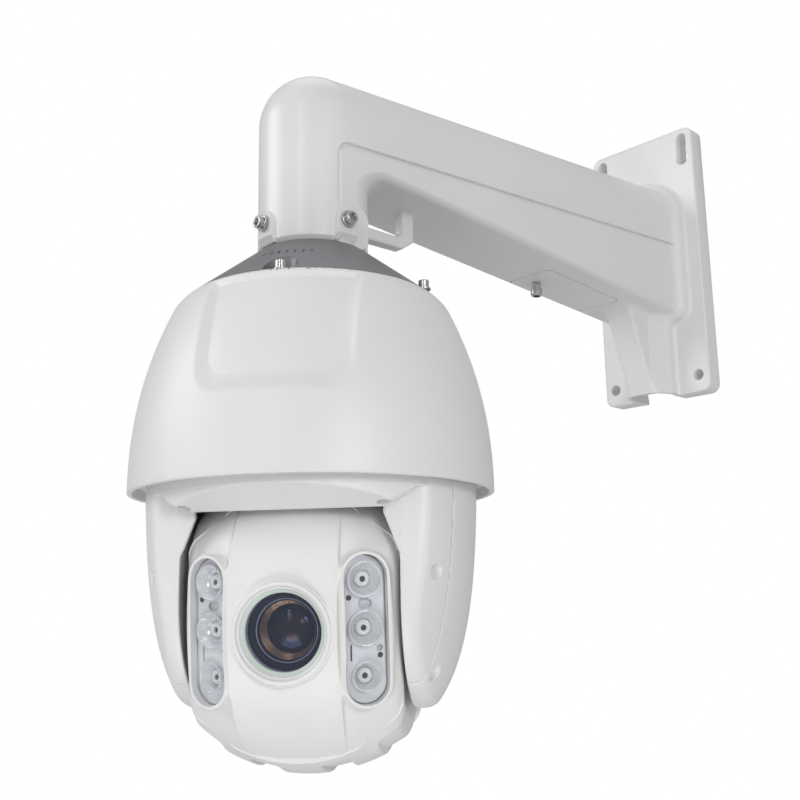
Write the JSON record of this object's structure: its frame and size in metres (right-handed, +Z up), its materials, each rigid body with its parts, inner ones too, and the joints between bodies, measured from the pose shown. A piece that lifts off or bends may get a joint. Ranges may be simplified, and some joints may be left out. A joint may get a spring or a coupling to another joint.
{
  "type": "ptz dome camera",
  "caption": "Outdoor pan and tilt dome camera with infrared lamps, hanging from a cast wall arm.",
  "frame": {"origin": "centre of the wall plate's back face, in the plane of the wall", "axes": "+Z up, -Y out from the wall along the arm, +X to the right for someone who faces the wall"},
  "size_m": [0.22, 0.518, 0.514],
  "materials": {
    "bracket_paint": "white powder coat, satin, very fine orange peel",
    "fastener_steel": "bright nickel-plated",
    "adapter_paint": "silver-grey metallic paint, satin",
    "shell_paint": "white satin paint",
    "seal_rubber": "black rubber",
    "inner_steel": "turned steel",
    "cast_alloy": "die-cast",
    "circuit_board": "green solder mask",
    "black_parts": "black anodised or moulded",
    "gear_plastic": "natural acetal",
    "contact_brass": "plain",
    "cover_plastic": "white moulded plastic, satin",
    "clear_glass": "polished",
    "lens_glass": "coated",
    "lamp_carrier": "pale silver carrier",
    "reflector_chrome": "vacuum metallised",
    "led_lens": "clear epoxy over a pale chip"
  },
  "bodies": {
    "mount": {"wall_bracket": "bracket_paint", "cable_hatch": "bracket_paint", "hatch_screw": "fastener_steel", "neck_screws": "fastener_steel", "top_adapter": "adapter_paint", "adapter_screws": "fastener_steel", "adapter_seal": "seal_rubber", "dome_shell": "shell_paint", "skirt_ring": "shell_paint", "support_posts": "inner_steel", "base_plate": "cast_alloy", "main_board": "circuit_board", "board_parts": "black_parts", "board_standoffs": "inner_steel", "slip_ring_stator": "black_parts", "pan_bearing_outer": "inner_steel", "pan_bearing_balls": "inner_steel", "pan_motor": "black_parts"},
    "pan_pinion": {"pan_pinion": "inner_steel"},
    "pan": {"yoke_frame": "cast_alloy", "turning_ring": "cover_plastic", "ring_screws": "fastener_steel", "pan_shaft": "inner_steel", "pan_gear": "gear_plastic", "pan_bearing_inner": "inner_steel", "slip_ring_rotor": "contact_brass", "left_arm_front": "cover_plastic", "right_arm_front": "cover_plastic", "left_arm_cover": "cover_plastic", "right_arm_cover": "cover_plastic", "arm_cover_screws": "fastener_steel", "tilt_bearings": "inner_steel", "tilt_motor": "black_parts", "tilt_belt": "seal_rubber", "driver_board": "circuit_board"},
    "motor_pulley": {"motor_pulley": "inner_steel"},
    "head": {"head_front_shell": "cover_plastic", "head_rear_shell": "cover_plastic", "head_seal": "seal_rubber", "lens_bezel": "cover_plastic", "lens_window": "clear_glass", "lens_barrel": "black_parts", "front_lens": "lens_glass", "sensor_board": "circuit_board", "camera_chassis": "inner_steel", "left_tilt_shaft": "inner_steel", "right_tilt_shaft": "inner_steel", "tilt_pulley": "cast_alloy", "left_lamp_window": "clear_glass", "right_lamp_window": "clear_glass", "left_lamp_board": "lamp_carrier", "right_lamp_board": "lamp_carrier", "left_reflectors": "reflector_chrome", "right_reflectors": "reflector_chrome", "lamp_leds": "led_lens", "lamp_screws": "fastener_steel"},
    "zoom": {"zoom_group": "black_parts"},
    "focus": {"focus_group": "black_parts"},
    "filter": {"ir_filter": "lens_glass"}
  },
  "joints": [
    {"name": "pan", "type": "hinge", "parent": "mount", "child": "pan", "pos_m": [0, -0.408, -0.233], "axis": [0, 0, 1], "continuous": true},
    {"name": "pan_pinion_spin", "type": "hinge", "parent": "mount", "child": "pan_pinion", "pos_m": [0.035, -0.46862, -0.203], "axis": [0, 0, 1], "continuous": true},
    {"name": "tilt", "type": "hinge", "parent": "pan", "child": "head", "pos_m": [0, -0.408, -0.305], "axis": [0.788, 0.6157, 0], "range_deg": [-21, 84]},
    {"name": "motor_pulley_spin", "type": "hinge", "parent": "pan", "child": "motor_pulley", "pos_m": [0, -0.408, -0.253], "axis": [0.788, 0.6157, 0], "range_deg": [-56, 218]},
    {"name": "zoom_slide", "type": "slide", "parent": "head", "child": "zoom", "axis": [0.6123, -0.7837, -0.1045], "range_m": [-0.012, 0.014]},
    {"name": "focus_slide", "type": "slide", "parent": "head", "child": "focus", "axis": [0.6123, -0.7837, -0.1045], "range_m": [-0.003, 0.004]},
    {"name": "filter_slide", "type": "slide", "parent": "head", "child": "filter", "axis": [0.788, 0.6157, 0], "range_m": [0, 0.011]}
  ],
  "couplings": [
    {"joint": "pan_pinion_spin", "follows": "pan", "ratio": -6},
    {"joint": "motor_pulley_spin", "follows": "tilt", "ratio": 2.5714}
  ]
}
